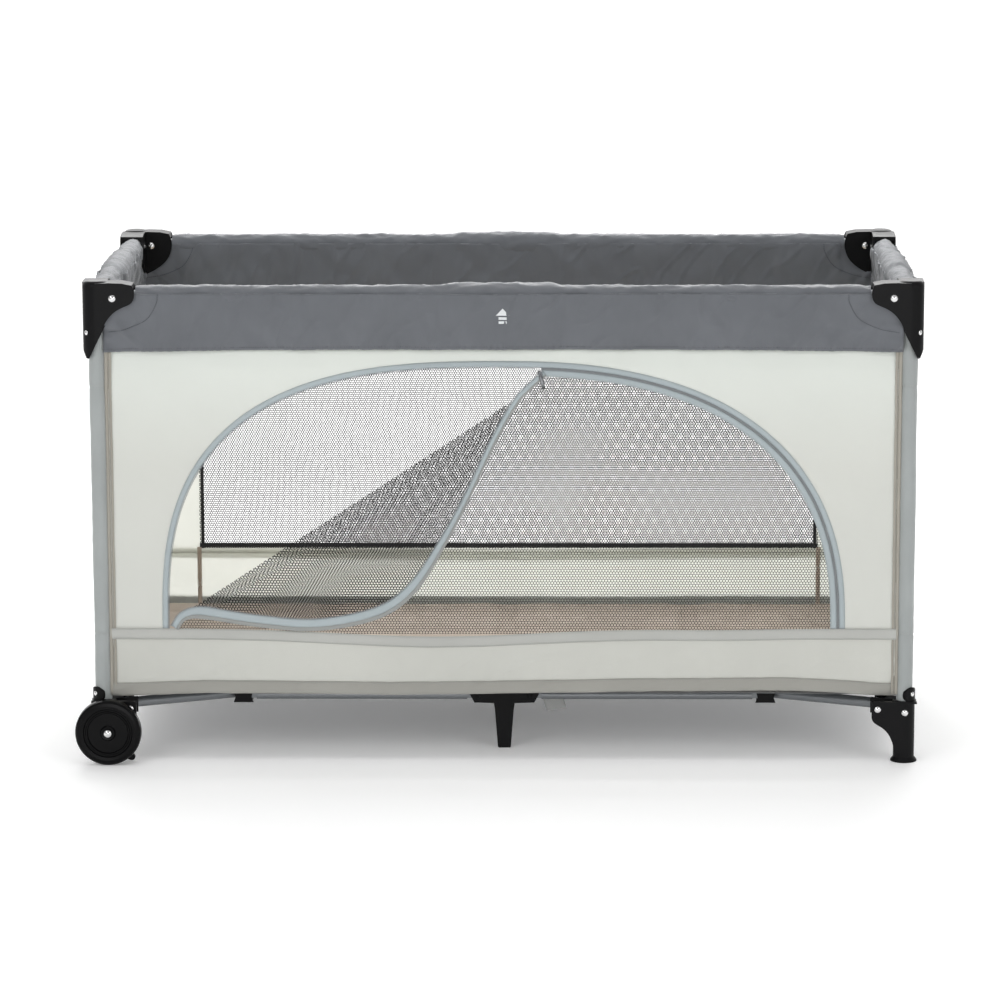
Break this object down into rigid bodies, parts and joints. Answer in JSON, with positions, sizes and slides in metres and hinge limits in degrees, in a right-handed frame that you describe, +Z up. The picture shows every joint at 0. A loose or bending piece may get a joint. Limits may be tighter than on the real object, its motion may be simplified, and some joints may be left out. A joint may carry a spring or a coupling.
{
  "type": "folding playpen",
  "caption": "Folding playpen with padded top rails, light cloth walls, a zipped mesh side door, mattress, wheels at one end and a hub-and-arm folding base.",
  "frame": {"origin": "on the floor under the middle of the bounding box", "axes": "+Z up, -Y faces the long side with the zipped door, +X towards the end with fixed feet"},
  "size_m": [1.2757, 0.7036, 0.734],
  "materials": {
    "frame_tube": "grey powder coat, satin",
    "black_plastic": "gloss moulded black",
    "zinc_steel": "polished rivet heads",
    "wheel_plastic": "gloss moulded black wheel",
    "light_fabric": "off-white woven polyester with black mesh",
    "dark_fabric": "dark grey padded quilting",
    "floor_fabric": "dark woven base cloth",
    "mattress_cloth": "beige brushed cover"
  },
  "bodies": {
    "corner_front_left": {"post_front_left": "frame_tube", "corner_bracket_front_left": "black_plastic", "pins_front_left": "zinc_steel", "wheel_bracket_front": "black_plastic", "wall_front": "light_fabric", "wall_left": "light_fabric"},
    "corner_front_right": {"post_front_right": "frame_tube", "corner_bracket_front_right": "black_plastic", "pins_front_right": "zinc_steel", "foot_front": "black_plastic", "wall_right": "light_fabric"},
    "corner_back_left": {"post_back_left": "frame_tube", "corner_bracket_back_left": "black_plastic", "pins_back_left": "zinc_steel", "wheel_bracket_back": "black_plastic", "wall_back": "light_fabric"},
    "corner_back_right": {"post_back_right": "frame_tube", "corner_bracket_back_right": "black_plastic", "pins_back_right": "zinc_steel", "foot_back": "black_plastic"},
    "lock_front": {"lock_front": "black_plastic", "cover_front": "dark_fabric"},
    "lock_back": {"lock_back": "black_plastic", "cover_back": "dark_fabric"},
    "lock_left": {"lock_left": "black_plastic", "cover_left": "dark_fabric"},
    "lock_right": {"lock_right": "black_plastic", "cover_right": "dark_fabric"},
    "button_front": {"lock_button_front": "black_plastic"},
    "button_back": {"lock_button_back": "black_plastic"},
    "button_left": {"lock_button_left": "black_plastic"},
    "button_right": {"lock_button_right": "black_plastic"},
    "rail_front_left": {"rail_front_left": "frame_tube"},
    "rail_left_front": {"rail_left_front": "frame_tube"},
    "arm_front_left": {"arm_front_left": "frame_tube"},
    "clip_front_left": {"clip_front_left": "black_plastic"},
    "link_front_left": {"link_front_left": "frame_tube"},
    "rail_front_right": {"rail_front_right": "frame_tube"},
    "rail_right_front": {"rail_right_front": "frame_tube"},
    "arm_front_right": {"arm_front_right": "frame_tube"},
    "clip_front_right": {"clip_front_right": "black_plastic"},
    "link_front_right": {"link_front_right": "frame_tube"},
    "middle_leg_front": {"middle_leg_front": "black_plastic"},
    "wheel_front": {"wheel_front": "wheel_plastic"},
    "rail_back_left": {"rail_back_left": "frame_tube"},
    "rail_left_back": {"rail_left_back": "frame_tube"},
    "arm_back_left": {"arm_back_left": "frame_tube"},
    "clip_back_left": {"clip_back_left": "black_plastic"},
    "link_back_left": {"link_back_left": "frame_tube"},
    "rail_back_right": {"rail_back_right": "frame_tube"},
    "rail_right_back": {"rail_right_back": "frame_tube"},
    "arm_back_right": {"arm_back_right": "frame_tube"},
    "clip_back_right": {"clip_back_right": "black_plastic"},
    "link_back_right": {"link_back_right": "frame_tube"},
    "middle_leg_back": {"middle_leg_back": "black_plastic"},
    "wheel_back": {"wheel_back": "wheel_plastic"},
    "floor_left": {"floor_left": "floor_fabric"},
    "floor_right": {"floor_right": "floor_fabric"},
    "hub": {"hub": "black_plastic"},
    "mattress": {"mattress": "mattress_cloth"}
  },
  "joints": [
    {"name": "frame_fold", "type": "hinge", "parent": "corner_front_left", "child": "rail_front_left", "pos_m": [-0.5705, -0.305, 0.709], "axis": [0, 1, 0], "range_deg": [0, 84], "deforming": ["wall_front", "wall_back", "wall_left", "wall_right", "cover_front", "cover_back", "cover_left", "cover_right", "floor_left", "floor_right", "mattress"]},
    {"name": "fold_lock_front", "type": "hinge", "parent": "rail_front_left", "child": "lock_front", "pos_m": [-0.046, -0.305, 0.709], "axis": [0, -1, 0], "range_deg": [0, 84]},
    {"name": "fold_rail_front_right", "type": "hinge", "parent": "lock_front", "child": "rail_front_right", "pos_m": [0.066, -0.305, 0.709], "axis": [0, -1, 0], "range_deg": [0, 84]},
    {"name": "fold_corner_front_right", "type": "hinge", "parent": "rail_front_right", "child": "corner_front_right", "pos_m": [0.5905, -0.305, 0.709], "axis": [0, 1, 0], "range_deg": [0, 84]},
    {"name": "fold_rail_right_front", "type": "hinge", "parent": "corner_front_right", "child": "rail_right_front", "pos_m": [0.616, -0.2795, 0.709], "axis": [-1, 0, 0], "range_deg": [0, 84]},
    {"name": "fold_lock_right", "type": "hinge", "parent": "rail_right_front", "child": "lock_right", "pos_m": [0.616, -0.056, 0.709], "axis": [1, 0, 0], "range_deg": [0, 84]},
    {"name": "fold_rail_right_back", "type": "hinge", "parent": "lock_right", "child": "rail_right_back", "pos_m": [0.616, 0.056, 0.709], "axis": [1, 0, 0], "range_deg": [0, 84]},
    {"name": "fold_corner_back_right", "type": "hinge", "parent": "rail_right_back", "child": "corner_back_right", "pos_m": [0.616, 0.2795, 0.709], "axis": [-1, 0, 0], "range_deg": [0, 84]},
    {"name": "fold_rail_left_front", "type": "hinge", "parent": "corner_front_left", "child": "rail_left_front", "pos_m": [-0.596, -0.2795, 0.709], "axis": [-1, 0, 0], "range_deg": [0, 84]},
    {"name": "fold_lock_left", "type": "hinge", "parent": "rail_left_front", "child": "lock_left", "pos_m": [-0.596, -0.056, 0.709], "axis": [1, 0, 0], "range_deg": [0, 84]},
    {"name": "fold_rail_left_back", "type": "hinge", "parent": "lock_left", "child": "rail_left_back", "pos_m": [-0.596, 0.056, 0.709], "axis": [1, 0, 0], "range_deg": [0, 84]},
    {"name": "fold_corner_back_left", "type": "hinge", "parent": "rail_left_back", "child": "corner_back_left", "pos_m": [-0.596, 0.2795, 0.709], "axis": [-1, 0, 0], "range_deg": [0, 84]},
    {"name": "fold_rail_back_right", "type": "hinge", "parent": "corner_back_right", "child": "rail_back_right", "pos_m": [0.5905, 0.305, 0.709], "axis": [0, -1, 0], "range_deg": [0, 84]},
    {"name": "fold_rail_back_left", "type": "hinge", "parent": "corner_back_left", "child": "rail_back_left", "pos_m": [-0.5705, 0.305, 0.709], "axis": [0, 1, 0], "range_deg": [0, 84]},
    {"name": "fold_lock_back", "type": "hinge", "parent": "rail_back_left", "child": "lock_back", "pos_m": [-0.046, 0.305, 0.709], "axis": [0, -1, 0], "range_deg": [0, 84]},
    {"name": "fold_arm_front_left", "type": "hinge", "parent": "corner_front_left", "child": "arm_front_left", "pos_m": [-0.562, -0.278, 0.082], "axis": [0.392, -0.92, 0], "range_deg": [0, 84]},
    {"name": "fold_clip_front_left", "type": "hinge", "parent": "arm_front_left", "child": "clip_front_left", "pos_m": [-0.39641, -0.20744, 0.082], "axis": [-0.392, 0.92, 0], "range_deg": [0, 84]},
    {"name": "fold_link_front_left", "type": "hinge", "parent": "clip_front_left", "child": "link_front_left", "pos_m": [-0.38791, -0.22394, 0.082], "axis": [0, -1, 0], "range_deg": [0, 84]},
    {"name": "fold_hub", "type": "hinge", "parent": "arm_front_left", "child": "hub", "pos_m": [-0.0375, -0.0545, 0.082], "axis": [-0.392, 0.92, 0], "range_deg": [0, 84]},
    {"name": "fold_arm_front_right", "type": "hinge", "parent": "corner_front_right", "child": "arm_front_right", "pos_m": [0.582, -0.278, 0.082], "axis": [0.392, 0.92, 0], "range_deg": [0, 84]},
    {"name": "fold_clip_front_right", "type": "hinge", "parent": "arm_front_right", "child": "clip_front_right", "pos_m": [0.41641, -0.20744, 0.082], "axis": [-0.392, -0.92, 0], "range_deg": [0, 84]},
    {"name": "fold_link_front_right", "type": "hinge", "parent": "clip_front_right", "child": "link_front_right", "pos_m": [0.40791, -0.22394, 0.082], "axis": [0, 1, 0], "range_deg": [0, 84]},
    {"name": "fold_middle_leg_front", "type": "hinge", "parent": "link_front_left", "child": "middle_leg_front", "pos_m": [-0.029, -0.22394, 0.082], "axis": [0, 1, 0], "range_deg": [0, 84]},
    {"name": "fold_arm_back_left", "type": "hinge", "parent": "corner_back_left", "child": "arm_back_left", "pos_m": [-0.562, 0.278, 0.082], "axis": [-0.392, -0.92, 0], "range_deg": [0, 84]},
    {"name": "fold_clip_back_left", "type": "hinge", "parent": "arm_back_left", "child": "clip_back_left", "pos_m": [-0.39641, 0.20744, 0.082], "axis": [0.392, 0.92, 0], "range_deg": [0, 84]},
    {"name": "fold_link_back_left", "type": "hinge", "parent": "clip_back_left", "child": "link_back_left", "pos_m": [-0.38791, 0.22394, 0.082], "axis": [0, -1, 0], "range_deg": [0, 84]},
    {"name": "fold_arm_back_right", "type": "hinge", "parent": "corner_back_right", "child": "arm_back_right", "pos_m": [0.582, 0.278, 0.082], "axis": [-0.392, 0.92, 0], "range_deg": [0, 84]},
    {"name": "fold_clip_back_right", "type": "hinge", "parent": "arm_back_right", "child": "clip_back_right", "pos_m": [0.41641, 0.20744, 0.082], "axis": [0.392, -0.92, 0], "range_deg": [0, 84]},
    {"name": "fold_link_back_right", "type": "hinge", "parent": "clip_back_right", "child": "link_back_right", "pos_m": [0.40791, 0.22394, 0.082], "axis": [0, 1, 0], "range_deg": [0, 84]},
    {"name": "fold_middle_leg_back", "type": "hinge", "parent": "link_back_left", "child": "middle_leg_back", "pos_m": [-0.029, 0.22394, 0.082], "axis": [0, 1, 0], "range_deg": [0, 84]},
    {"name": "fold_floor_left", "type": "hinge", "parent": "corner_front_left", "child": "floor_left", "pos_m": [-0.5145, 0, 0.0995], "axis": [0, -1, 0], "range_deg": [0, 84]},
    {"name": "fold_floor_right", "type": "hinge", "parent": "corner_front_right", "child": "floor_right", "pos_m": [0.5345, 0, 0.0995], "axis": [0, 1, 0], "range_deg": [0, 84]},
    {"name": "mattress_out", "type": "slide", "parent": "corner_front_left", "child": "mattress", "axis": [0, 0, 1], "range_m": [0, 0.645]},
    {"name": "wheel_spin_front", "type": "hinge", "parent": "corner_front_left", "child": "wheel_front", "pos_m": [-0.587, -0.305, 0.05], "axis": [0, 1, 0], "continuous": true},
    {"name": "wheel_spin_back", "type": "hinge", "parent": "corner_back_left", "child": "wheel_back", "pos_m": [-0.587, 0.305, 0.05], "axis": [0, 1, 0], "continuous": true},
    {"name": "lock_press_front", "type": "slide", "parent": "lock_front", "child": "button_front", "axis": [0, 0, 1], "range_m": [0, 0.003], "stiffness_N_per_m": 300, "springref_m": -0.002},
    {"name": "lock_press_back", "type": "slide", "parent": "lock_back", "child": "button_back", "axis": [0, 0, 1], "range_m": [0, 0.003], "stiffness_N_per_m": 300, "springref_m": -0.002},
    {"name": "lock_press_left", "type": "slide", "parent": "lock_left", "child": "button_left", "axis": [0, 0, 1], "range_m": [0, 0.003], "stiffness_N_per_m": 300, "springref_m": -0.002},
    {"name": "lock_press_right", "type": "slide", "parent": "lock_right", "child": "button_right", "axis": [0, 0, 1], "range_m": [0, 0.003], "stiffness_N_per_m": 300, "springref_m": -0.002}
  ],
  "couplings": [
    {"joint": "fold_lock_front", "follows": "frame_fold", "ratio": 1},
    {"joint": "fold_rail_front_right", "follows": "frame_fold", "ratio": 1},
    {"joint": "fold_corner_front_right", "follows": "frame_fold", "ratio": 1},
    {"joint": "fold_rail_right_front", "follows": "frame_fold", "ratio": 1},
    {"joint": "fold_lock_right", "follows": "frame_fold", "ratio": 1},
    {"joint": "fold_rail_right_back", "follows": "frame_fold", "ratio": 1},
    {"joint": "fold_corner_back_right", "follows": "frame_fold", "ratio": 1},
    {"joint": "fold_rail_left_front", "follows": "frame_fold", "ratio": 1},
    {"joint": "fold_lock_left", "follows": "frame_fold", "ratio": 1},
    {"joint": "fold_rail_left_back", "follows": "frame_fold", "ratio": 1},
    {"joint": "fold_corner_back_left", "follows": "frame_fold", "ratio": 1},
    {"joint": "fold_rail_back_right", "follows": "frame_fold", "ratio": 1},
    {"joint": "fold_rail_back_left", "follows": "frame_fold", "ratio": 1},
    {"joint": "fold_lock_back", "follows": "frame_fold", "ratio": 1},
    {"joint": "fold_arm_front_left", "follows": "frame_fold", "ratio": 1},
    {"joint": "fold_clip_front_left", "follows": "frame_fold", "ratio": 1},
    {"joint": "fold_link_front_left", "follows": "frame_fold", "ratio": 1},
    {"joint": "fold_hub", "follows": "frame_fold", "ratio": 1},
    {"joint": "fold_arm_front_right", "follows": "frame_fold", "ratio": 1},
    {"joint": "fold_clip_front_right", "follows": "frame_fold", "ratio": 1},
    {"joint": "fold_link_front_right", "follows": "frame_fold", "ratio": 1},
    {"joint": "fold_middle_leg_front", "follows": "frame_fold", "ratio": 1},
    {"joint": "fold_arm_back_left", "follows": "frame_fold", "ratio": 1},
    {"joint": "fold_clip_back_left", "follows": "frame_fold", "ratio": 1},
    {"joint": "fold_link_back_left", "follows": "frame_fold", "ratio": 1},
    {"joint": "fold_arm_back_right", "follows": "frame_fold", "ratio": 1},
    {"joint": "fold_clip_back_right", "follows": "frame_fold", "ratio": 1},
    {"joint": "fold_link_back_right", "follows": "frame_fold", "ratio": 1},
    {"joint": "fold_middle_leg_back", "follows": "frame_fold", "ratio": 1},
    {"joint": "fold_floor_left", "follows": "frame_fold", "ratio": 1},
    {"joint": "fold_floor_right", "follows": "frame_fold", "ratio": 1},
    {"joint": "mattress_out", "follows": "frame_fold", "m_per_rad": 0.43654}
  ]
}
